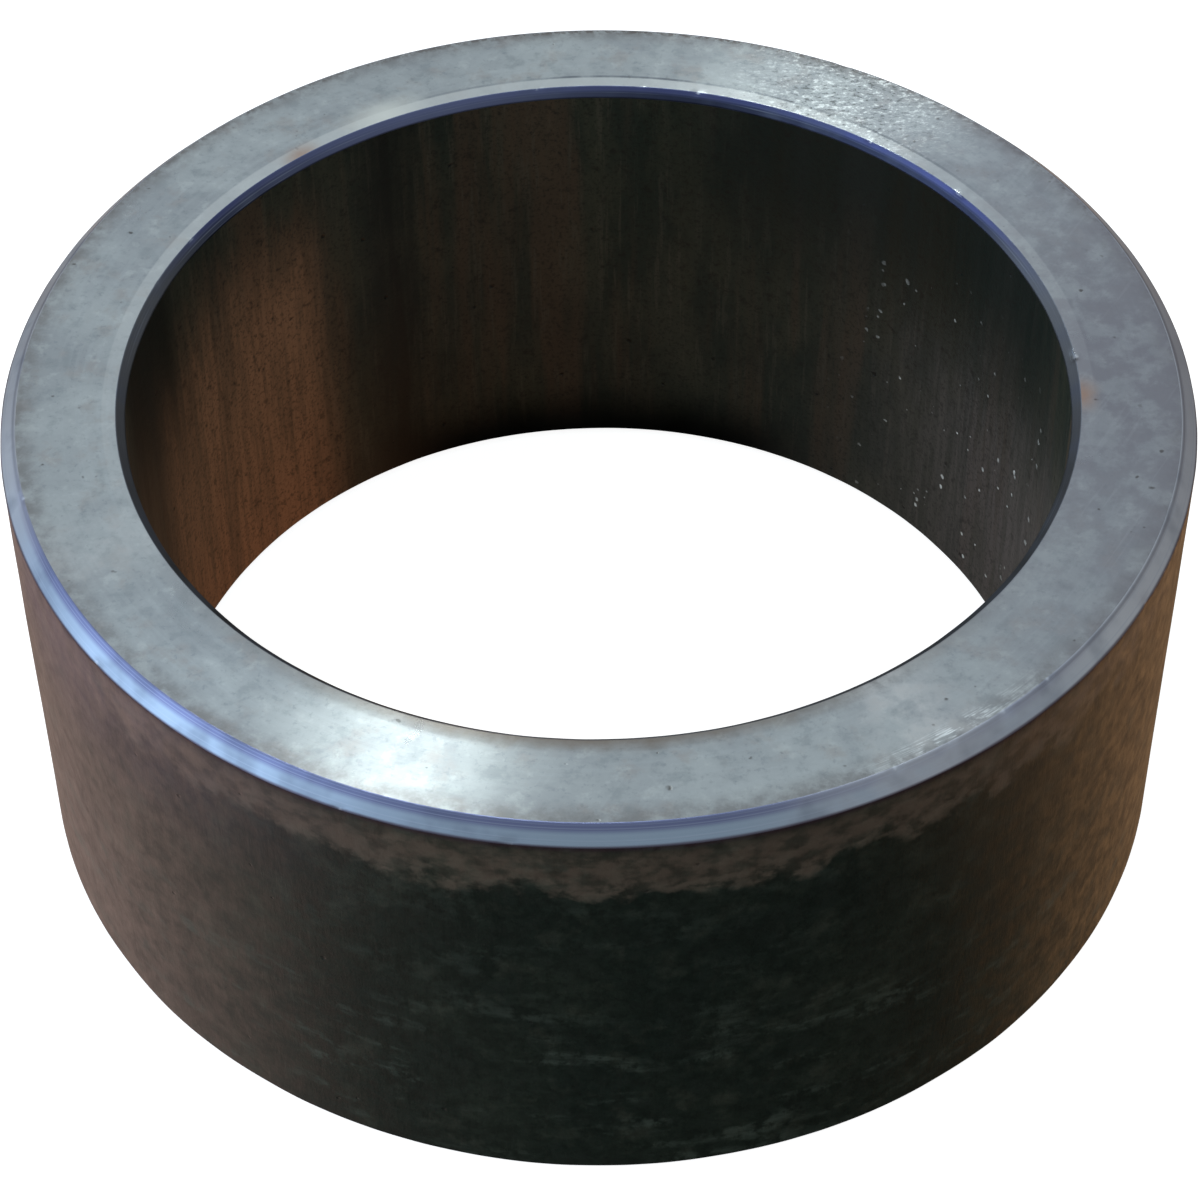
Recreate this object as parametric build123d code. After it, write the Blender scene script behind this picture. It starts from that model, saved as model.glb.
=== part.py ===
from build123d import *
import os

# A plain steel spacer sleeve: a ring parted off seamless round tube, both ends faced square in a lathe
# and every edge broken.  Millimetres, +Z along the bore, origin at the centre of the bottom end face.

outside_diameter = 60.3     # the tube's own rolled outside, left as it came from the mill
wall = 6.3                  # standard tube wall, so the bore is 47.7
length = 26.0               # end face to end face

outer_chamfer = 0.8         # 45 degree chamfer where each end face meets the outside
bore_chamfer = 0.45         # 45 degree chamfer where each end meets the bore
lip_width = 0.75            # narrow shallow cone turned around the bore's mouth, outside its chamfer
lip_fall = 0.04             # how far that cone drops from the end face by its inner edge

outside_radius = outside_diameter / 2
bore_radius = outside_radius - wall
chamfer_mouth_radius = bore_radius + bore_chamfer
lip_radius = chamfer_mouth_radius + lip_width
face_outer_radius = outside_radius - outer_chamfer


def end_profile(z_face, into_part):
    """Corners of one end from the bore wall out to the outside wall, as (radius, height).

    into_part is +1 where the metal lies above the end face and -1 where it lies below it.
    """
    mouth = z_face + into_part * lip_fall
    return [
        (bore_radius, mouth + into_part * bore_chamfer),
        (chamfer_mouth_radius, mouth),
        (lip_radius, z_face),
        (face_outer_radius, z_face),
        (outside_radius, z_face + into_part * outer_chamfer),
    ]


def spacer_sleeve():
    """The sleeve, turned as one solid from its half section."""
    bottom = end_profile(0.0, +1)
    top = end_profile(length, -1)
    corners = [(radius, 0.0, height) for radius, height in bottom + top[::-1]]
    half_section = make_face(Polyline(*corners, close=True))
    return revolve(half_section, axis=Axis.Z, revolution_arc=360)


os.makedirs("parts", exist_ok=True)
sleeve = spacer_sleeve()
export_step(sleeve, "parts/spacer_sleeve.step")

print("bore diameter", round(2 * bore_radius, 3), "mm")
print("volume", round(sleeve.volume / 1000, 3), "cm3")
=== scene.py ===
import math

import bpy
import numpy as np
from mathutils import Matrix, Vector, noise


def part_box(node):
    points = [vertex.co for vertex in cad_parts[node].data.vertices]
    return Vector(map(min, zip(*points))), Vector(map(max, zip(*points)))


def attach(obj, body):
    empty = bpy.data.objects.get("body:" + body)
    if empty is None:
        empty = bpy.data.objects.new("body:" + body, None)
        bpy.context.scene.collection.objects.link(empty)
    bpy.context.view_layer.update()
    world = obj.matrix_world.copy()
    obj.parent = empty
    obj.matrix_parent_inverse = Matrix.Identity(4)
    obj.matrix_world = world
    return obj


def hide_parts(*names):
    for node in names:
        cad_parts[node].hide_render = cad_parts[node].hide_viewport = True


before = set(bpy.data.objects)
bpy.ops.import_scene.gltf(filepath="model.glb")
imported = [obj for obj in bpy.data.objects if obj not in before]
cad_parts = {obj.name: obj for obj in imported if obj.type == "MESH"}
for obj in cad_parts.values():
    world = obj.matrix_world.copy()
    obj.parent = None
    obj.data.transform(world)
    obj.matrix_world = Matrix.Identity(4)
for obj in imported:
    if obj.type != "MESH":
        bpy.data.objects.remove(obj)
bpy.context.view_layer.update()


# ---- The sleeve's metal ----------------------------------------------------------------------------
# One ring parted off seamless steel tube.  A lathe faced both ends and broke every edge; the outside
# and the bore keep the dark skin that they were rolled with.  Worked out here in millimetres.

MM = 0.001
high_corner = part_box("spacer_sleeve")[1]
outside_radius = high_corner[0] / MM
length = high_corner[2] / MM
wall = 6.3
outer_chamfer = 0.8
bore_chamfer = 0.45
lip_width = 0.75                                # shallow cone turned around the bore's mouth
lip_fall = 0.04
bore_radius = outside_radius - wall
mouth_radius = bore_radius + bore_chamfer
lip_radius = mouth_radius + lip_width
face_edge_radius = outside_radius - outer_chamfer
mid_wall = (bore_radius + outside_radius) / 2

FACE, EDGE, SKIN, BORE = range(4)               # the material slots of the mesh
steps_around = 560
edge_softness = 0.06                            # how far each turned corner is worn round
bend_shares = (0.35, 0.65)                      # where the vertices of a worn corner lie on its bend
support_gap = 0.05                              # the next ring of vertices after a worn corner

# Each corner of the section, and the surface and number of steps from it to the next corner.
section = [
    (outside_radius, outer_chamfer, SKIN, 28),
    (outside_radius, length - outer_chamfer, EDGE, 5),
    (face_edge_radius, length, FACE, 12),
    (lip_radius, length, FACE, 4),
    (mouth_radius, length - lip_fall, EDGE, 4),
    (bore_radius, length - lip_fall - bore_chamfer, BORE, 24),
    (bore_radius, lip_fall + bore_chamfer, EDGE, 4),
    (mouth_radius, lip_fall, FACE, 4),
    (lip_radius, 0.0, FACE, 8),
    (face_edge_radius, 0.0, EDGE, 5),
]


def section_stations():
    """Points round the section as (radius, height), with the surface that starts at each."""
    places, surfaces = [], []
    for index, (radius, height, surface, steps) in enumerate(section):
        before = Vector(section[index - 1][:2])
        corner = Vector((radius, height))
        after = Vector(section[(index + 1) % len(section)][:2])
        run = (after - corner).length
        arrive = (corner - before).normalized() * edge_softness
        leave = (after - corner).normalized()
        rounded = EDGE if EDGE in (surface, section[index - 1][2]) else surface
        for share in bend_shares:
            places.append(corner - arrive * (1 - share) ** 2 + leave * edge_softness * share ** 2)
            surfaces.append(rounded)
        inner_start = edge_softness + support_gap
        stops = [edge_softness]
        stops += [inner_start + (run - 2 * inner_start) * step / steps for step in range(steps + 1)]
        stops.append(run - edge_softness)
        for stop in stops:
            places.append(corner + leave * stop)
            surfaces.append(surface)
    return np.array([tuple(place) for place in places]), surfaces


stations, station_surfaces = section_stations()
stations_count = len(stations)
azimuths = np.arange(steps_around) * 2 * math.pi / steps_around
out_x = np.cos(azimuths)[:, None]
out_y = np.sin(azimuths)[:, None]
radii = np.repeat(stations[None, :, 0], steps_around, axis=0)
heights = np.repeat(stations[None, :, 1], steps_around, axis=0)


def skin_swell(amount, spacing, seed):
    """A soft uneven swelling, one value per vertex, drawn out along the tube as rolling leaves it."""
    swell = np.zeros_like(radii)
    for around in range(steps_around):
        for station in range(stations_count):
            point = Vector((radii[around, station] * out_x[around, 0],
                            radii[around, station] * out_y[around, 0],
                            heights[around, station] * 0.5 + seed))
            swell[around, station] = noise.noise(point / spacing)
    return swell * amount


# The rolled skins wander a little, so the chamfers cut across them are not quite even in width.
wander = (skin_swell(amount=0.035, spacing=5.0, seed=0.0)
          + skin_swell(amount=0.012, spacing=1.6, seed=40.0))
near_skin = np.clip((np.abs(radii - mid_wall) - wall / 2 + outer_chamfer) / outer_chamfer, 0, 1)
radii = radii + wander * near_skin

# Knocks on the edges of the top end: direction in degrees, which edge, how wide and how deep.
FACE_EDGE, SKIN_EDGE, BORE_EDGE = "face edge", "skin edge", "bore edge"
edge_places = {
    FACE_EDGE: (face_edge_radius, length),
    SKIN_EDGE: (outside_radius, length - outer_chamfer),
    BORE_EDGE: (mouth_radius, length - lip_fall),
}
knocks = [
    (97.5, BORE_EDGE, 0.26, 0.06), (93.0, BORE_EDGE, 0.20, 0.04), (84.0, BORE_EDGE, 0.22, 0.05),
    (76.5, BORE_EDGE, 0.30, 0.07), (52.0, BORE_EDGE, 0.24, 0.06), (37.0, BORE_EDGE, 0.34, 0.09),
    (26.0, BORE_EDGE, 0.22, 0.05), (4.0, BORE_EDGE, 0.46, 0.13), (152.0, BORE_EDGE, 0.34, 0.08),
    (161.0, BORE_EDGE, 0.25, 0.06), (297.0, FACE_EDGE, 0.36, 0.10), (303.0, FACE_EDGE, 0.30, 0.08),
    (309.0, FACE_EDGE, 0.45, 0.10), (315.0, FACE_EDGE, 0.25, 0.06), (262.0, SKIN_EDGE, 0.40, 0.08),
    (247.0, SKIN_EDGE, 0.30, 0.06), (218.0, SKIN_EDGE, 0.45, 0.09), (330.0, SKIN_EDGE, 0.45, 0.09),
    (341.0, FACE_EDGE, 0.30, 0.08), (62.0, FACE_EDGE, 0.30, 0.08), (196.0, FACE_EDGE, 0.30, 0.08),
]
points = np.stack([radii * out_x, radii * out_y, heights], axis=2)
inward = np.stack([(mid_wall - radii) * out_x, (mid_wall - radii) * out_y, length / 2 - heights], axis=2)
inward[..., 2] = np.sign(inward[..., 2]) * np.minimum(np.abs(inward[..., 2]), wall / 2)
inward /= np.linalg.norm(inward, axis=2, keepdims=True)
bare = np.zeros_like(radii)                     # how far each vertex has been knocked back to bare metal
for azimuth, edge, width, depth in knocks:
    edge_radius, edge_height = edge_places[edge]
    turn = math.radians(azimuth)
    centre = np.array(Vector((edge_radius * math.cos(turn), edge_radius * math.sin(turn), edge_height)))
    nearness = np.clip(1 - np.linalg.norm(points - centre, axis=2) / width, 0, 1)
    press = nearness * nearness * (3 - 2 * nearness)
    points += inward * (press * depth)[..., None]
    bare = np.maximum(bare, press)

vertices = (points * MM).reshape(-1, 3)
quads, quad_surfaces = [], []
for around in range(steps_around):
    onward = (around + 1) % steps_around
    for station in range(stations_count):
        beside = (station + 1) % stations_count
        quads.append((around * stations_count + station, onward * stations_count + station,
                      onward * stations_count + beside, around * stations_count + beside))
        quad_surfaces.append(station_surfaces[station])
mesh = bpy.data.meshes.new("sleeve_metal")
mesh.from_pydata(vertices.tolist(), [], quads)
mesh.polygons.foreach_set("material_index", quad_surfaces)
mesh.polygons.foreach_set("use_smooth", [True] * len(quads))
mesh.attributes.new("bare", "FLOAT", "POINT").data.foreach_set("value", bare.reshape(-1))


def put_in_scene(name, data):
    """An object of this name for a mesh, a light or a camera, linked into the scene."""
    made = bpy.data.objects.new(name, data)
    bpy.context.scene.collection.objects.link(made)
    return made


sleeve = put_in_scene("sleeve_metal", mesh)
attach(sleeve, "root")
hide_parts("spacer_sleeve")


# ---- The turned end faces --------------------------------------------------------------------------
# Both ends were faced in the lathe, so the steel there is bright, with fine rings that draw a light out
# into a streak.  Handling has left soft stains, small pits, and brown along part of the bore's edge.

def srgb(red, green, blue):
    """A colour given as 0 to 255 a channel, as the linear colour that a shader takes."""
    shares = [channel / 255 for channel in (red, green, blue)]
    return tuple(s / 12.92 if s <= 0.04045 else ((s + 0.055) / 1.055) ** 2.4 for s in shares) + (1.0,)


def add(tree, kind, inputs=None, **settings):
    """Adds a shader node, sets its options, and fills its inputs with values or links."""
    made = tree.nodes.new(kind)
    for option, value in settings.items():
        setattr(made, option, value)
    for socket, value in (inputs or {}).items():
        if isinstance(value, bpy.types.NodeSocket):
            tree.links.new(value, made.inputs[socket])
        else:
            made.inputs[socket].default_value = value
    return made


def calc(tree, operation, first, second=0.0):
    """One sum on numbers."""
    return add(tree, "ShaderNodeMath", {0: first, 1: second}, operation=operation).outputs[0]


def product(tree, *values):
    """Several masks and strengths multiplied together."""
    total = values[0]
    for value in values[1:]:
        total = calc(tree, "MULTIPLY", total, value)
    return total


def calc_vector(tree, operation, first, second=(0.0, 0.0, 0.0)):
    """One sum on vectors, as a vector or, for a length or dot product, a number."""
    made = add(tree, "ShaderNodeVectorMath", {0: first, 1: second}, operation=operation)
    return made.outputs["Value" if operation in ("LENGTH", "DOT_PRODUCT") else "Vector"]


def fade(tree, value, start, end, low=0.0, high=1.0):
    """Goes smoothly from low to high while value goes from start to end."""
    made = add(tree, "ShaderNodeMapRange", {"Value": value, "From Min": start, "From Max": end,
                                            "To Min": low, "To Max": high},
               interpolation_type="SMOOTHSTEP")
    return made.outputs["Result"]


def tint(tree, amount, base, colour, mode="MIX"):
    """Lays one colour over another."""
    made = add(tree, "ShaderNodeMix", {0: amount, 6: base, 7: colour}, data_type="RGBA", blend_type=mode)
    return made.outputs[2]


def wash(tree, base, *layers):
    """Lays colours over one another: pattern, where it starts, where it is full, strength, colour."""
    for pattern, start, full, strength, colour in layers:
        base = tint(tree, fade(tree, pattern, start, full, 0.0, strength), base, colour)
    return base


def cloud(tree, where, scale, detail=3.0, roughness=0.55, distortion=0.0):
    """Soft noise from 0 to 1, about 0.5 on average."""
    made = add(tree, "ShaderNodeTexNoise", {"Vector": where, "Scale": scale, "Detail": detail,
                                            "Roughness": roughness, "Distortion": distortion})
    return made.outputs[0]


def new_group(name, inputs, outputs):
    """A node group with these named sockets, and its input and output nodes."""
    group = bpy.data.node_groups.new(name, "ShaderNodeTree")
    for socket, value in inputs.items():
        kind = "NodeSocketVector" if isinstance(value, tuple) else "NodeSocketFloat"
        group.interface.new_socket(socket, in_out="INPUT", socket_type=kind).default_value = value
    for socket, kind in outputs.items():
        group.interface.new_socket(socket, in_out="OUTPUT", socket_type=kind)
    return group, group.nodes.new("NodeGroupInput").outputs, group.nodes.new("NodeGroupOutput").inputs


def use(tree, group, **values):
    """Places a node group; an underscore in a name stands for the space in its socket's name."""
    made = add(tree, "ShaderNodeGroup", node_tree=group)
    for socket, value in values.items():
        target = made.inputs[socket.replace("_", " ")]
        if isinstance(value, bpy.types.NodeSocket):
            tree.links.new(value, target)
        else:
            target.default_value = value
    return made.outputs


# Where a point is on the ring: its place in mm, its distance from the axis, its height, and the
# direction it lies in from the axis.
ring_place, _, place_out = new_group("ring_place", {}, {
    "Place": "NodeSocketVector", "Radius": "NodeSocketFloat",
    "Height": "NodeSocketFloat", "Direction": "NodeSocketVector"})
object_place = add(ring_place, "ShaderNodeTexCoord").outputs["Object"]
place_mm = calc_vector(ring_place, "MULTIPLY", object_place, (1 / MM, 1 / MM, 1 / MM))
flat_place = calc_vector(ring_place, "MULTIPLY", place_mm, (1.0, 1.0, 0.0))
place_parts = add(ring_place, "ShaderNodeSeparateXYZ", {0: place_mm}).outputs
ring_place.links.new(place_mm, place_out["Place"])
ring_place.links.new(calc_vector(ring_place, "LENGTH", flat_place), place_out["Radius"])
ring_place.links.new(place_parts["Z"], place_out["Height"])
ring_place.links.new(calc_vector(ring_place, "NORMALIZE", flat_place), place_out["Direction"])

# A stretch of the ring round one direction, fading out at both sides.
ring_sector, sector_in, sector_out = new_group("ring_sector", {
    "Direction": (1.0, 0.0, 0.0), "Azimuth": 0.0, "Half width": 20.0}, {"Mask": "NodeSocketFloat"})
azimuth_angle = calc(ring_sector, "RADIANS", sector_in["Azimuth"])
azimuth_line = add(ring_sector, "ShaderNodeCombineXYZ", {
    "X": calc(ring_sector, "COSINE", azimuth_angle), "Y": calc(ring_sector, "SINE", azimuth_angle)})
facing = calc_vector(ring_sector, "DOT_PRODUCT", sector_in["Direction"], azimuth_line.outputs[0])
angle_off = calc(ring_sector, "ARCCOSINE", calc(ring_sector, "MINIMUM", facing, 1.0))
half_angle = calc(ring_sector, "RADIANS", sector_in["Half width"])
share_off = calc(ring_sector, "DIVIDE", angle_off, half_angle)
ring_sector.links.new(fade(ring_sector, share_off, 1.0, 0.0), sector_out["Mask"])


def sector(tree, ring, azimuth, half_width):
    """The mask of one stretch of the ring, round a direction in degrees."""
    return use(tree, ring_sector, Direction=ring["Direction"], Azimuth=azimuth,
               Half_width=half_width)["Mask"]


# Small pits, each in a cell of its own, where only some cells have one.  Sizes are in cells.
pit_least_reach = 0.10
pit_growth = 0.8
pit_edge = 0.12
pit_shake = (0.3, 0.3, 0.3)
pits, pits_in, pits_out = new_group("pits", {
    "Place": (0.0, 0.0, 0.0), "Spacing": 1.0, "Share": 0.3}, {"Mask": "NodeSocketFloat"})
shake = add(pits, "ShaderNodeTexNoise", {"Vector": pits_in["Place"], "Scale": 2.5, "Detail": 1.0})
shaken = calc_vector(pits, "ADD", pits_in["Place"],
                     calc_vector(pits, "MULTIPLY", shake.outputs["Color"], pit_shake))
pit_cells = add(pits, "ShaderNodeTexVoronoi", {
    "Vector": shaken, "Scale": calc(pits, "DIVIDE", 1.0, pits_in["Spacing"]), "Randomness": 1.0})
pit_chance = add(pits, "ShaderNodeSeparateXYZ", {0: pit_cells.outputs["Color"]}).outputs["X"]
pit_size = calc(pits, "SUBTRACT", pit_chance, calc(pits, "SUBTRACT", 1.0, pits_in["Share"]))
pit_least = calc(pits, "MULTIPLY", calc(pits, "GREATER_THAN", pit_size, 0.0), pit_least_reach)
pit_reach = calc(pits, "ADD", pit_least,
                 calc(pits, "MULTIPLY", calc(pits, "MAXIMUM", pit_size, 0.0), pit_growth))
inside_pit = calc(pits, "SUBTRACT", pit_reach, pit_cells.outputs["Distance"])
pits.links.new(fade(pits, inside_pit, 0.0, pit_edge), pits_out["Mask"])

# Fine straight scratches that run one way, in patches: the crests of a noise drawn out along them.
scratch_axis = (0.3, 0.4, 1.0)
scratch_draw = (1.0, 0.035, 0.3)
scratches, scratch_in, scratch_out = new_group("scratches", {
    "Place": (0.0, 0.0, 0.0), "Turn": 0.0, "Spacing": 1.0, "Share": 0.4}, {"Mask": "NodeSocketFloat"})
turned = add(scratches, "ShaderNodeVectorRotate", {
    "Vector": scratch_in["Place"], "Axis": scratch_axis,
    "Angle": calc(scratches, "RADIANS", scratch_in["Turn"])}, rotation_type="AXIS_ANGLE").outputs[0]
drawn_out = calc_vector(scratches, "MULTIPLY", turned, scratch_draw)
scratch_scale = calc(scratches, "DIVIDE", 1.0, scratch_in["Spacing"])
crest = cloud(scratches, drawn_out, scratch_scale, detail=2.0, roughness=0.7)
on_line = fade(scratches, crest, 0.60, 0.70)
scratch_patch = cloud(scratches, turned, 0.30, detail=2.0)
patch_edge = calc(scratches, "SUBTRACT", 0.75, calc(scratches, "MULTIPLY", scratch_in["Share"], 0.5))
in_patch = fade(scratches, calc(scratches, "SUBTRACT", scratch_patch, patch_edge), -0.1, 0.05)
scratches.links.new(product(scratches, on_line, in_patch), scratch_out["Mask"])


def new_material(name):
    """A material with a Principled shader, with its node tree, the shader and ring_place."""
    material = bpy.data.materials.new(name)
    material.use_nodes = True
    tree = material.node_tree
    shader = tree.nodes["Principled BSDF"]
    return material, tree, shader, use(tree, ring_place)


def finish_surface(tree, shader, colour, roughness, height, distance):
    """Feeds the shader its colour and roughness, and a bump this many mm high."""
    tree.links.new(colour, shader.inputs["Base Color"])
    tree.links.new(roughness, shader.inputs["Roughness"])
    bump = add(tree, "ShaderNodeBump", {"Height": height, "Distance": distance * MM})
    tree.links.new(bump.outputs[0], shader.inputs["Normal"])


turned_face, tree, shader, ring = new_material("turned_face")
place, radius = ring["Place"], ring["Radius"]

# The turned rings, a little uneven from side to side.
ring_grain_where = add(tree, "ShaderNodeCombineXYZ", {
    "X": radius, "Y": calc(tree, "MULTIPLY", cloud(tree, place, 0.05, detail=1.0), 2.0)}).outputs[0]
coarse_rings = cloud(tree, ring_grain_where, 3.2, detail=2.0)
fine_rings = cloud(tree, ring_grain_where, 14.0, detail=2.0, roughness=0.7)

# Bright steel under stains of four sizes.
stain = cloud(tree, place, 0.16, detail=5.0, roughness=0.6, distortion=0.6)
blotch = cloud(tree, place, 0.50, detail=5.0, roughness=0.65)
mottle = cloud(tree, calc_vector(tree, "ADD", place, (70.0, 0.0, 0.0)), 0.85, detail=4.0, roughness=0.65)
speckle = cloud(tree, place, 2.8, detail=3.0, roughness=0.65)
stained_steel, clean_steel = srgb(151, 156, 159), srgb(175, 181, 182)
handled_film, cold_grey, pale_grey = srgb(156, 150, 146), srgb(132, 140, 143), srgb(196, 202, 200)
dark_speckle, ring_crest = srgb(114, 122, 128), srgb(190, 198, 202)
face_colour = wash(tree, tint(tree, fade(tree, stain, 0.30, 0.70), stained_steel, clean_steel),
                   (blotch, 0.52, 0.68, 0.45, handled_film),
                   (mottle, 0.50, 0.32, 0.42, cold_grey),
                   (mottle, 0.54, 0.72, 0.40, pale_grey),
                   (speckle, 0.55, 0.72, 0.30, dark_speckle),
                   (coarse_rings, 0.45, 0.70, 0.10, ring_crest))

# Darker towards the outer edge, brown on the rim at the back, and darker and more violet over the right
# side.
margin_grey, rim_brown, right_violet = srgb(118, 114, 112), srgb(84, 70, 62), srgb(122, 121, 128)
outer_margin = product(tree, fade(tree, radius, face_edge_radius - 1.5, face_edge_radius - 0.1),
                       fade(tree, mottle, 0.62, 0.40, 0.25, 0.60))
face_colour = tint(tree, outer_margin, face_colour, margin_grey)
brown_rim = product(tree, sector(tree, ring, 70.0, 120.0),
                    fade(tree, radius, face_edge_radius - 0.5, face_edge_radius - 0.1),
                    fade(tree, speckle, 0.42, 0.58), 0.75)
face_colour = tint(tree, brown_rim, face_colour, rim_brown)
darker_right_side = product(tree, sector(tree, ring, 1.0, 76.0), fade(tree, blotch, 0.40, 0.56, 0.60, 0.90))
face_colour = tint(tree, darker_right_side, face_colour, right_violet)

# Paler on the lip round the bore, with a dark turned line outside it at the back.
lip_pale, line_dark = srgb(206, 208, 206), srgb(92, 98, 106)
on_lip = fade(tree, radius, lip_radius, lip_radius - 0.10)
face_colour = tint(tree, product(tree, on_lip, sector(tree, ring, 105.0, 130.0), 0.5), face_colour, lip_pale)
lip_line = calc(tree, "ABSOLUTE", calc(tree, "SUBTRACT", radius, lip_radius + 0.04))
lip_line_shows = product(tree, fade(tree, lip_line, 0.13, 0.04),
                         fade(tree, sector(tree, ring, 75.0, 105.0), 0.60, 0.95),
                         fade(tree, stain, 0.62, 0.42, 0.15, 0.75))
face_colour = tint(tree, lip_line_shows, face_colour, line_dark)

# Brown film along the front of the bore's edge, and two rusty spots further round it.
brown_film, rust = srgb(120, 106, 92), srgb(160, 118, 88)
film_edge = calc(tree, "ADD", radius, calc(tree, "MULTIPLY", blotch, 1.4))
near_bore = fade(tree, film_edge, lip_radius + 1.1, mouth_radius + 0.6)
film = product(tree, sector(tree, ring, 268.0, 66.0), near_bore, 0.8)
face_colour = tint(tree, film, face_colour, brown_film)
for spot_azimuth in (131.0, 357.0):
    rusty_spot = product(tree, sector(tree, ring, spot_azimuth, 4.0), near_bore, 0.6)
    face_colour = tint(tree, rusty_spot, face_colour, rust)

# Paler where it has been rubbed: by the bore at the back, across the wall at the left and at the front
# right, and on the rim at the front right.
rubbed_pale, rubbed_grey, rubbed_bright = srgb(220, 222, 214), srgb(206, 206, 204), srgb(240, 244, 244)
pale_by_bore = product(tree, sector(tree, ring, 118.0, 8.0),
                       fade(tree, film_edge, lip_radius + 2.2, lip_radius + 0.6), 0.7)
face_colour = tint(tree, pale_by_bore, face_colour, rubbed_pale)
for rub_azimuth, rub_strength in ((302.0, 0.55), (206.0, 0.30)):
    rub = product(tree, sector(tree, ring, rub_azimuth, 8.0), fade(tree, blotch, 0.35, 0.60), rub_strength)
    face_colour = tint(tree, rub, face_colour, rubbed_grey)
rim_rub = product(tree, sector(tree, ring, 304.0, 13.0),
                  fade(tree, radius, face_edge_radius - 1.2, face_edge_radius - 0.5),
                  fade(tree, fine_rings, 0.46, 0.60), fade(tree, mottle, 0.44, 0.58), 0.8)
face_colour = tint(tree, rim_rub, face_colour, rubbed_bright)

# Pits of two sizes, thicker on some ground than on other.
pit_brown = srgb(78, 70, 64)
pit_ground = fade(tree, cloud(tree, place, 0.12, detail=2.0), 0.40, 0.62, 0.30, 1.0)
small_pits = use(tree, pits, Place=place, Spacing=0.7, Share=0.16)["Mask"]
big_pits = use(tree, pits, Place=place, Spacing=1.6, Share=0.05)["Mask"]
pitted = calc(tree, "MAXIMUM", product(tree, small_pits, pit_ground), product(tree, big_pits, pit_ground))
face_colour = tint(tree, product(tree, pitted, 0.6), face_colour, pit_brown)

# A rough patch at the back right with a painted glint: bright marks and a pale wash, with dark marks
# between the bright ones.
painted_glint_white, painted_sheen_grey, glint_dark = srgb(244, 248, 246), srgb(206, 210, 208), srgb(84, 88, 88)
glint_ground = sector(tree, ring, 59.0, 19.0)
glint_grain = cloud(tree, calc_vector(tree, "MULTIPLY", place, (1.0, 1.6, 1.0)), 2.6, detail=4.0,
                    roughness=0.7)
painted_glint_marks = product(tree, glint_ground, fade(tree, glint_grain, 0.54, 0.64), 0.8)
dark_marks = product(tree, glint_ground, fade(tree, glint_grain, 0.46, 0.34), 0.85)
face_colour = tint(tree, painted_glint_marks, face_colour, painted_glint_white)
face_colour = tint(tree, product(tree, glint_ground, 0.15), face_colour, painted_sheen_grey)
face_colour = tint(tree, dark_marks, face_colour, glint_dark)

scratch_pale, bare_steel = srgb(206, 212, 214), srgb(226, 230, 232)
face_scratches = use(tree, scratches, Place=place, Turn=35.0, Spacing=0.45, Share=0.5)["Mask"]
face_colour = tint(tree, product(tree, face_scratches, 0.05), face_colour, scratch_pale)
bare_metal = add(tree, "ShaderNodeAttribute", attribute_name="bare").outputs["Fac"]
face_colour = wash(tree, face_colour, (bare_metal, 0.45, 0.95, 0.45, bare_steel))

face_roughness = calc(tree, "ADD", fade(tree, stain, 0.25, 0.75, 0.27, 0.32), product(tree, pitted, 0.2))
ring_height = calc(tree, "ADD", product(tree, coarse_rings, 0.5), product(tree, fine_rings, 0.5))
face_height = calc(tree, "SUBTRACT", ring_height, product(tree, pitted, 1.5))
face_height = calc(tree, "ADD", face_height, product(tree, glint_ground, glint_grain, 6.0))
finish_surface(tree, shader, face_colour, face_roughness, face_height, distance=0.006)
shader.inputs["Metallic"].default_value = 0.85
shader.inputs["Anisotropic"].default_value = 0.95
shader.inputs["Anisotropic Rotation"].default_value = 0.25
around_axis = add(tree, "ShaderNodeTangent", direction_type="RADIAL", axis="Z").outputs[0]
tree.links.new(around_axis, shader.inputs["Tangent"])


# ---- The chamfers ----------------------------------------------------------------------------------
# Each edge was broken with a plain tool cut at 45 degrees.  The blue on the cut, outside towards the front
# and in the bore towards the back, is painted reflection, and bare bright metal shows in the knocks.

cut_edge, tree, shader, ring = new_material("cut_edge")
place, radius, height = ring["Place"], ring["Radius"], ring["Height"]
edge_cloud = cloud(tree, place, 0.35, detail=3.0)
along_cut = add(tree, "ShaderNodeCombineXYZ", {"X": calc(tree, "ADD", radius, height),
                                               "Y": calc(tree, "SUBTRACT", radius, height)}).outputs[0]
edge_lines = cloud(tree, along_cut, 9.0, detail=1.0)

# The outer chamfer: painted reflection at the front, violet by the face and blue by the skin; else grey.
violet_reflection, blue_reflection = srgb(111, 118, 152), srgb(152, 168, 186)
grey_cut_by_face, grey_cut = srgb(168, 170, 177), srgb(216, 220, 224)
outer_reflection_colour = tint(tree, fade(tree, radius, face_edge_radius + 0.18, face_edge_radius + 0.40),
                  violet_reflection, blue_reflection)
outer_grey = tint(tree, fade(tree, radius, face_edge_radius + 0.05, face_edge_radius + 0.22),
                  grey_cut_by_face, grey_cut)
outer_painted_reflection = fade(tree, sector(tree, ring, 256.0, 88.0), 0.10, 0.45)
outer_cut = tint(tree, outer_painted_reflection, outer_grey, outer_reflection_colour)

# The bore's chamfer, at the back: painted reflection, dark blue by the bore and brighter by the lip,
# palest at the back left.
bore_reflection_dark, bore_reflection_blue = srgb(42, 47, 66), srgb(66, 72, 112)
bore_reflection_pale, bore_cut_grey = srgb(104, 110, 142), srgb(102, 105, 109)
bore_reflection_colour = tint(tree, fade(tree, radius, bore_radius + 0.15, mouth_radius - 0.1),
                 bore_reflection_dark, bore_reflection_blue)
bore_reflection_colour = tint(tree, product(tree, sector(tree, ring, 116.0, 40.0), 0.7), bore_reflection_colour, bore_reflection_pale)
bore_painted_reflection = fade(tree, sector(tree, ring, 90.0, 92.0), 0.05, 0.35)
bore_cut = tint(tree, bore_painted_reflection, bore_cut_grey, bore_reflection_colour)

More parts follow.
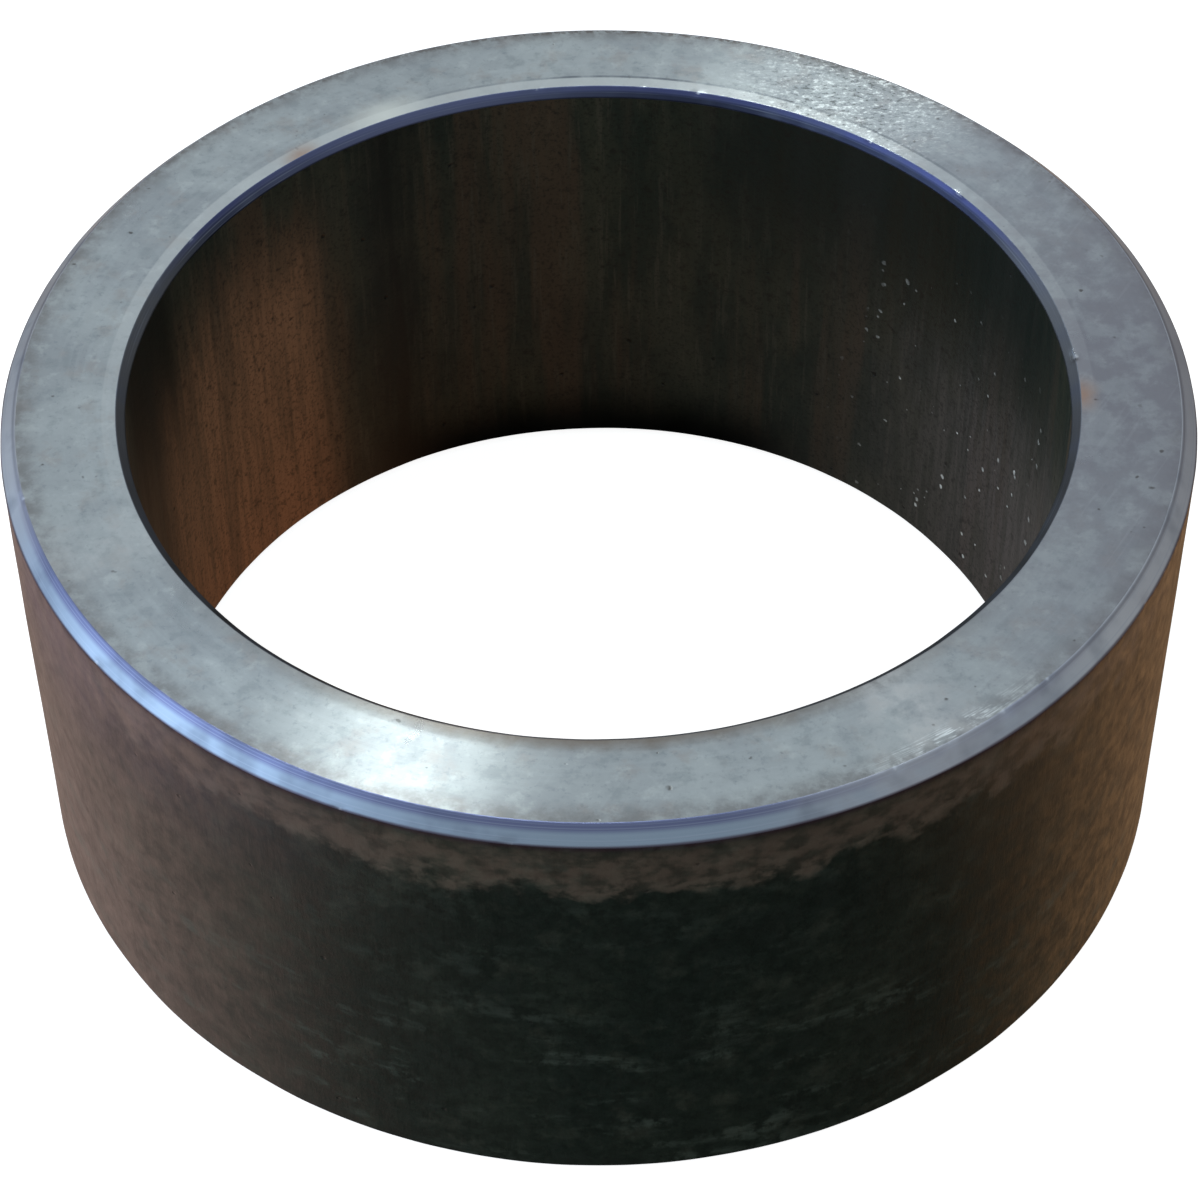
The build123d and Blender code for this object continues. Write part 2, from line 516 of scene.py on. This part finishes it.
outside_half = fade(tree, radius, mid_wall - 1.0, mid_wall + 1.0)
edge_colour = tint(tree, outside_half, bore_cut, outer_cut)
worn_cut, stained_cut, cut_line = srgb(200, 202, 208), srgb(84, 92, 112), srgb(176, 186, 204)
skin_edge_mauve, bare_cut = srgb(74, 48, 64), srgb(222, 228, 238)
worn_stretch = product(tree, sector(tree, ring, 301.0, 22.0), outside_half,
                       fade(tree, edge_cloud, 0.35, 0.6, 0.5, 0.9))
bare_metal = add(tree, "ShaderNodeAttribute", attribute_name="bare").outputs["Fac"]
edge_colour = wash(tree, tint(tree, worn_stretch, edge_colour, worn_cut),
                   (edge_cloud, 0.45, 0.75, 0.4, stained_cut),
                   (edge_lines, 0.50, 0.70, 0.25, cut_line),
                   (radius, outside_radius - 0.12, outside_radius - 0.02, 0.7, skin_edge_mauve),
                   (bare_metal, 0.45, 0.95, 0.45, bare_cut))
edge_roughness = fade(tree, edge_cloud, 0.3, 0.7, 0.35, 0.46)
finish_surface(tree, shader, edge_colour, edge_roughness, edge_lines, distance=0.004)
shader.inputs["Metallic"].default_value = 0.9


# ---- The outside skin ------------------------------------------------------------------------------
# The tube's own rolled outside: near-black mill scale, rubbed brown in a ragged band below the chamfer
# and lightly scuffed lower down where the ring has been handled and slid about.

mill_skin, tree, shader, ring = new_material("mill_skin")
place, height = ring["Place"], ring["Height"]
upright = calc_vector(tree, "MULTIPLY", place, (1.0, 1.0, 0.22))
skin_cloud = cloud(tree, place, 0.14, detail=4.0, roughness=0.6)
skin_grain = cloud(tree, upright, 2.2, detail=4.0, roughness=0.7)
skin_fleck = cloud(tree, place, 1.1, detail=4.0, roughness=0.7)
skin_mottle = cloud(tree, place, 4.5, detail=3.0, roughness=0.7)
skin_patch = cloud(tree, calc_vector(tree, "ADD", place, (0.0, 50.0, 0.0)), 0.45, detail=5.0,
                   roughness=0.62)
scale_black, scale_green = srgb(26, 39, 29), srgb(40, 50, 38)
grain_olive, mottle_black = srgb(60, 60, 50), srgb(14, 19, 14)
skin_colour = wash(tree, tint(tree, fade(tree, skin_cloud, 0.35, 0.70), scale_black, scale_green),
                   (skin_grain, 0.50, 0.75, 0.25, grain_olive),
                   (skin_mottle, 0.52, 0.35, 0.38, mottle_black))

# Painted reflection of the warm surroundings: browner on the left, and on the right in a patch that leans
# round to the front as it rises; violet at the top of the left.
left_reflection_brown, reflection_violet, right_reflection_brown = srgb(140, 112, 98), srgb(112, 88, 136), srgb(132, 100, 74)
skin_left_reflection = product(tree, sector(tree, ring, 190.0, 60.0), 0.6)
violet_reflection_top = product(tree, sector(tree, ring, 212.0, 46.0), fade(tree, height, 15.0, 25.0), 0.18)
right_middle = calc(tree, "SUBTRACT", 372.0, calc(tree, "MULTIPLY", height, 1.2))
right_painted_reflection = product(tree, sector(tree, ring, right_middle, 56.0), 0.6)
skin_colour = tint(tree, skin_left_reflection, skin_colour, left_reflection_brown)
skin_colour = tint(tree, violet_reflection_top, skin_colour, reflection_violet)
skin_colour = tint(tree, right_painted_reflection, skin_colour, right_reflection_brown)
patch_dark, patch_pale, fleck_dark = srgb(36, 40, 32), srgb(104, 104, 88), srgb(30, 30, 28)
skin_colour = wash(tree, skin_colour,
                   (skin_patch, 0.60, 0.30, 0.40, patch_dark),
                   (skin_patch, 0.50, 0.72, 0.20, patch_pale),
                   (skin_fleck, 0.55, 0.38, 0.25, fleck_dark))

# The rubbed band is a crowd of soft blotches, thick under the chamfer and thinning out downwards.
band_brown, band_rim_brown, chamfer_mauve = srgb(98, 80, 68), srgb(96, 84, 72), srgb(56, 30, 44)
chamfer_foot = length - outer_chamfer
front_side = sector(tree, ring, 274.0, 80.0)
band_wander = calc(tree, "SUBTRACT", cloud(tree, place, 0.35, detail=4.0, roughness=0.6), 0.5)
band_edge = calc(tree, "ADD", height, calc(tree, "MULTIPLY", band_wander, 5.0))
blotches = cloud(tree, calc_vector(tree, "MULTIPLY", place, (0.8, 0.8, 1.1)), 1.1, detail=3.0,
                 roughness=0.55)
rubbed_band = product(tree, fade(tree, front_side, 0.0, 0.3), fade(tree, band_edge, 21.6, 23.3),
                      fade(tree, blotches, 0.34, 0.64, 0.35, 1.0),
                      fade(tree, height, chamfer_foot, chamfer_foot - 1.0, 0.35, 1.0))
skin_colour = tint(tree, rubbed_band, skin_colour, band_brown, mode="ADD")
band_rim = product(tree, fade(tree, band_edge, 21.6, 22.2), fade(tree, band_edge, 23.2, 22.5), front_side,
                   fade(tree, blotches, 0.40, 0.56), 0.5)
skin_colour = tint(tree, band_rim, skin_colour, band_rim_brown, mode="ADD")
skin_colour = wash(tree, skin_colour, (height, chamfer_foot - 0.40, chamfer_foot, 0.75, chamfer_mauve))

# Level scuffs, thickest 6 mm above the foot, and a few pits.
scuff_pale, pit_black = srgb(112, 124, 110), srgb(16, 16, 14)
level = calc_vector(tree, "MULTIPLY", place, (0.25, 0.25, 1.0))
scuffs = fade(tree, cloud(tree, level, 0.75, detail=5.0, roughness=0.62), 0.50, 0.72)
above_scuffs = calc(tree, "ABSOLUTE", calc(tree, "SUBTRACT", height, 6.0))
low_scuffs = product(tree, scuffs, fade(tree, above_scuffs, 9.0, 1.0, 0.25, 1.0),
                     fade(tree, skin_fleck, 0.40, 0.58), 0.42)
skin_colour = tint(tree, low_scuffs, skin_colour, scuff_pale)
skin_pits = use(tree, pits, Place=place, Spacing=1.1, Share=0.08)["Mask"]
skin_colour = tint(tree, product(tree, skin_pits, 0.5), skin_colour, pit_black)

skin_roughness = fade(tree, skin_fleck, 0.3, 0.7, 0.44, 0.62)
skin_height = calc(tree, "SUBTRACT", calc(tree, "ADD", skin_grain, skin_fleck),
                   product(tree, skin_pits, 1.2))
finish_surface(tree, shader, skin_colour, skin_roughness, skin_height, distance=0.02)
shader.inputs["Metallic"].default_value = 0.0
shader.inputs["Specular IOR Level"].default_value = 0.55


# ---- The bore --------------------------------------------------------------------------------------
# The inside of the tube as it was rolled: dark scale drawn into faint upright streaks, with small pits,
# a scatter of bright specks painted as glints, and a painted warm brown reflection on one side.

bore_skin, tree, shader, ring = new_material("bore_skin")
place, height = ring["Place"], ring["Height"]
drawn = calc_vector(tree, "MULTIPLY", place, (1.0, 1.0, 0.07))
streaks = cloud(tree, drawn, 0.28, detail=4.0, roughness=0.6)
fine_streaks = cloud(tree, drawn, 2.4, detail=3.0, roughness=0.7)
bore_cloud = cloud(tree, calc_vector(tree, "MULTIPLY", place, (1.0, 1.0, 0.45)), 0.30, detail=5.0,
                   roughness=0.65)
bore_fleck = cloud(tree, place, 1.6, detail=4.0, roughness=0.7)
bore_mottle = cloud(tree, place, 5.0, detail=3.0, roughness=0.7)
bore_green, bore_olive = srgb(34, 45, 36), srgb(60, 62, 48)
streak_brown, streak_grey = srgb(90, 68, 50), srgb(84, 80, 66)
bore_colour = wash(tree, tint(tree, fade(tree, bore_cloud, 0.38, 0.64), bore_green, bore_olive),
                   (streaks, 0.50, 0.64, 0.55, streak_brown),
                   (fine_streaks, 0.52, 0.68, 0.45, streak_grey))

# Painted reflection: brown low on the left wall and greyer low on the right, and painted shade, dark
# green, near the top.
reflection_brown, reflection_grey, shade_green = srgb(180, 130, 94), srgb(124, 112, 108), srgb(10, 26, 22)
warm_edge = calc(tree, "ADD", height, calc(tree, "MULTIPLY", calc(tree, "SUBTRACT", bore_cloud, 0.5), 9.0))
warm_painted_reflection = product(tree, fade(tree, sector(tree, ring, 149.0, 27.0), 0.0, 0.5),
                    fade(tree, warm_edge, 25.5, 14.0), fade(tree, streaks, 0.36, 0.50, 0.50, 1.0),
                    fade(tree, fine_streaks, 0.35, 0.60, 0.65, 1.0), 0.9)
bore_colour = tint(tree, warm_painted_reflection, bore_colour, reflection_brown)
right_painted_reflection = product(tree, sector(tree, ring, 12.0, 52.0), fade(tree, warm_edge, 24.0, 7.0),
                     fade(tree, fine_streaks, 0.36, 0.62, 0.5, 1.0), 0.8)
bore_colour = tint(tree, right_painted_reflection, bore_colour, reflection_grey)
for shade_azimuth, shade_reach in ((42.0, 60.0), (170.0, 17.0)):
    shaded_top = product(tree, fade(tree, sector(tree, ring, shade_azimuth, shade_reach), 0.0, 0.7),
                         fade(tree, warm_edge, 11.0, 23.0, 0.20, 0.92))
    bore_colour = tint(tree, shaded_top, bore_colour, shade_green)

# Dark flecks all over, one dark drawn streak beside the brown, painted shade at the foot of the back, and
# pits.
fleck_black, mottle_black, streak_black = srgb(18, 19, 16), srgb(14, 16, 13), srgb(10, 13, 10)
shade_black, pit_black = srgb(0, 1, 0), srgb(6, 6, 5)
bore_colour = wash(tree, bore_colour,
                   (bore_fleck, 0.46, 0.30, 0.6, fleck_black),
                   (bore_mottle, 0.50, 0.36, 0.5, mottle_black))
dark_streak = product(tree, sector(tree, ring, 118.0, 8.0), fade(tree, streaks, 0.60, 0.45), 0.8)
bore_colour = tint(tree, dark_streak, bore_colour, streak_black)
low_painted_shade = product(tree, fade(tree, sector(tree, ring, 92.0, 48.0), 0.0, 0.5),
                    fade(tree, height, 5.0, 0.5), 0.95)
bore_colour = tint(tree, low_painted_shade, bore_colour, shade_black)
bore_pits = use(tree, pits, Place=place, Spacing=1.0, Share=0.12)["Mask"]
bore_colour = tint(tree, product(tree, bore_pits, 0.8), bore_colour, pit_black)

# Painted glints: small bright specks low on the right.
glint_white = srgb(255, 255, 246)
painted_glints = product(tree, use(tree, pits, Place=place, Spacing=0.62, Share=0.27)["Mask"],
                 fade(tree, sector(tree, ring, 28.0, 34.0), 0.0, 0.8), fade(tree, height, 22.0, 12.0),
                 fade(tree, bore_fleck, 0.38, 0.60, 0.4, 1.0))
bore_colour = tint(tree, painted_glints, bore_colour, glint_white)

bore_roughness = fade(tree, streaks, 0.3, 0.7, 0.40, 0.58)
bore_height = calc(tree, "SUBTRACT", calc(tree, "ADD", streaks, bore_fleck), product(tree, bore_pits, 1.5))
finish_surface(tree, shader, bore_colour, bore_roughness, bore_height, distance=0.03)
shader.inputs["Metallic"].default_value = 0.0
shader.inputs["Specular IOR Level"].default_value = 0.4

for material in (turned_face, cut_edge, mill_skin, bore_skin):
    mesh.materials.append(material)


# ---- The floor -------------------------------------------------------------------------------------
# A plain pale board under the ring, which glows enough to read as white.  It is flagged off, so that
# the steel neither mirrors it nor takes light from it.

floor_half = 3.0
floor_mesh = bpy.data.meshes.new("floor")
floor_mesh.from_pydata([(-floor_half, -floor_half, 0), (floor_half, -floor_half, 0),
                        (floor_half, floor_half, 0), (-floor_half, floor_half, 0)], [], [(0, 1, 2, 3)])
floor = put_in_scene("floor", floor_mesh)
pale_board = bpy.data.materials.new("pale_board")
pale_board.use_nodes = True
board_shader = pale_board.node_tree.nodes["Principled BSDF"]
board_shader.inputs["Base Color"].default_value = (0.50, 0.50, 0.50, 1.0)
board_shader.inputs["Roughness"].default_value = 0.9
board_shader.inputs["Specular IOR Level"].default_value = 0.1
board_shader.inputs["Emission Color"].default_value = (1.0, 1.0, 1.0, 1.0)
board_shader.inputs["Emission Strength"].default_value = 0.92
floor_mesh.materials.append(pale_board)
floor.visible_glossy = False
floor.visible_diffuse = False

# Through the ring the steel sees only shaded bench, so a dim disc lies under the hole, hidden from the
# camera and just below the floor: grey to the right, brown to the left, darker towards the front and
# black by the back wall.
bench_sides = 96
bench_radius = bore_radius + 1
bench_drop = 0.2
bench_rim = []
for side in range(bench_sides):
    turn = 2 * math.pi * side / bench_sides
    bench_rim.append((bench_radius * math.cos(turn) * MM, bench_radius * math.sin(turn) * MM,
                      -bench_drop * MM))
bench_mesh = bpy.data.meshes.new("shaded_bench")
bench_mesh.from_pydata(bench_rim, [], [tuple(range(bench_sides))])
shaded_bench = put_in_scene("shaded_bench", bench_mesh)
shaded_bench.visible_camera = False
bench_glow, tree, shader, ring = new_material("bench_glow")
bench_parts = add(tree, "ShaderNodeSeparateXYZ", {0: ring["Place"]}).outputs
glow_brown, glow_grey = srgb(144, 106, 80), srgb(126, 122, 118)
glow_black, glow_front = srgb(2, 3, 2), srgb(40, 48, 40)
glow_colour = tint(tree, fade(tree, bench_parts["X"], -6.0, 6.0), glow_brown, glow_grey)
off_middle = calc(tree, "ABSOLUTE", bench_parts["X"])
dark_back = product(tree, fade(tree, bench_parts["Y"], 17.0, 21.5), fade(tree, off_middle, 14.0, 7.0))
glow_colour = tint(tree, dark_back, glow_colour, glow_black)
glow_colour = tint(tree, fade(tree, bench_parts["Y"], 8.0, -8.0), glow_colour, glow_front)
tree.links.new(glow_colour, shader.inputs["Emission Color"])
shader.inputs["Emission Strength"].default_value = 1.0
shader.inputs["Base Color"].default_value = (0.0, 0.0, 0.0, 1.0)
shader.inputs["Specular IOR Level"].default_value = 0.0
bench_mesh.materials.append(bench_glow)


# ---- The studio ------------------------------------------------------------------------------------
# A soft cool room with a pale blue window at the left, above a bench that is tan behind, orange to the
# right, pink to the left and dark in front.  Three soft lamps: one high behind the left that draws the
# streaks on the turned face, one broad and cool at the back, and a blue one at the left for the chamfer.

world = bpy.data.worlds.new("studio")
bpy.context.scene.world = world
world.use_nodes = True
tree = world.node_tree
look = add(tree, "ShaderNodeTexCoord").outputs["Generated"]
look_parts = add(tree, "ShaderNodeSeparateXYZ", {0: look}).outputs
look_across, look_back, look_up = look_parts["X"], look_parts["Y"], look_parts["Z"]
bench_dark, bench_left, bench_right = srgb(8, 14, 10), srgb(255, 219, 206), srgb(250, 192, 136)
bench_back, bench_below = srgb(238, 196, 150), srgb(6, 7, 6)
room_low, room_middle, room_high = srgb(84, 82, 88), srgb(136, 134, 138), srgb(196, 206, 210)
window_blue, backdrop = srgb(226, 238, 255), srgb(246, 247, 248)

to_left = product(tree, fade(tree, look_across, -0.10, -0.55), fade(tree, look_back, -0.48, 0.05))
to_right = product(tree, fade(tree, look_across, 0.10, 0.55), fade(tree, look_back, -0.10, 0.42))
surroundings = tint(tree, to_left, bench_dark, bench_left)
surroundings = tint(tree, to_right, surroundings, bench_right)
surroundings = tint(tree, fade(tree, look_back, 0.50, 0.75), surroundings, bench_back)
surroundings = tint(tree, fade(tree, look_up, -0.82, -0.96), surroundings, bench_below)
surroundings = tint(tree, fade(tree, look_up, -0.62, -0.30), surroundings, room_low)
surroundings = tint(tree, fade(tree, look_up, -0.22, 0.05), surroundings, room_middle)
surroundings = tint(tree, fade(tree, look_up, 0.10, 0.90), surroundings, room_high)
window = product(tree, fade(tree, look_across, -0.55, -0.85), fade(tree, look_up, -0.10, 0.20),
                 fade(tree, look_up, 0.70, 0.50))
surroundings = tint(tree, window, surroundings, window_blue)
seen = add(tree, "ShaderNodeLightPath").outputs["Is Camera Ray"]
surroundings = tint(tree, seen, surroundings, backdrop)
tree.links.new(surroundings, tree.nodes["Background"].inputs["Color"])


def lamp(name, azimuth, elevation, distance, size, power, colour):
    """A square soft lamp aimed at the ring from this direction."""
    data = bpy.data.lights.new(name, "AREA")
    data.shape = "SQUARE"
    data.size = size
    data.energy = power
    data.color = colour[:3]
    made = put_in_scene(name, data)
    across = distance * math.cos(math.radians(elevation))
    middle = Vector((0.0, 0.0, length * MM / 2))
    offset = Vector((across * math.cos(math.radians(azimuth)), across * math.sin(math.radians(azimuth)),
                     distance * math.sin(math.radians(elevation))))
    made.location = middle + offset
    made.rotation_euler = offset.to_track_quat("Z", "Y").to_euler()


lamp("key_lamp", azimuth=122.5, elevation=70.0, distance=0.30, size=0.044, power=0.165,
     colour=srgb(247, 255, 253))
lamp("back_lamp", azimuth=90.0, elevation=48.0, distance=0.90, size=0.60, power=0.5,
     colour=srgb(232, 242, 255))
lamp("left_lamp", azimuth=194.0, elevation=29.0, distance=0.80, size=0.68, power=2.7,
     colour=srgb(208, 230, 255))


# ---- The camera ------------------------------------------------------------------------------------
# Looks down on the ring at a little over 45 degrees from six radii away, rolled by half a degree.

camera_data = bpy.data.cameras.new("camera")
camera_data.sensor_width = 36.0
camera_data.lens = 104.8
camera = put_in_scene("camera", camera_data)
view_elevation = math.radians(45.24)
view_distance = 6.1655 * outside_radius * MM
view_tilt = math.radians(-0.624)
view_roll = math.radians(-0.493)
camera_place = Vector((0.0, -view_distance * math.cos(view_elevation),
                       length * MM / 2 + view_distance * math.sin(view_elevation)))
camera.matrix_world = (Matrix.Translation(camera_place)
                       @ Matrix.Rotation(math.pi / 2 - view_elevation + view_tilt, 4, "X")
                       @ Matrix.Rotation(view_roll, 4, "Z"))
bpy.context.scene.camera = camera
bpy.context.scene.view_settings.view_transform = "Standard"
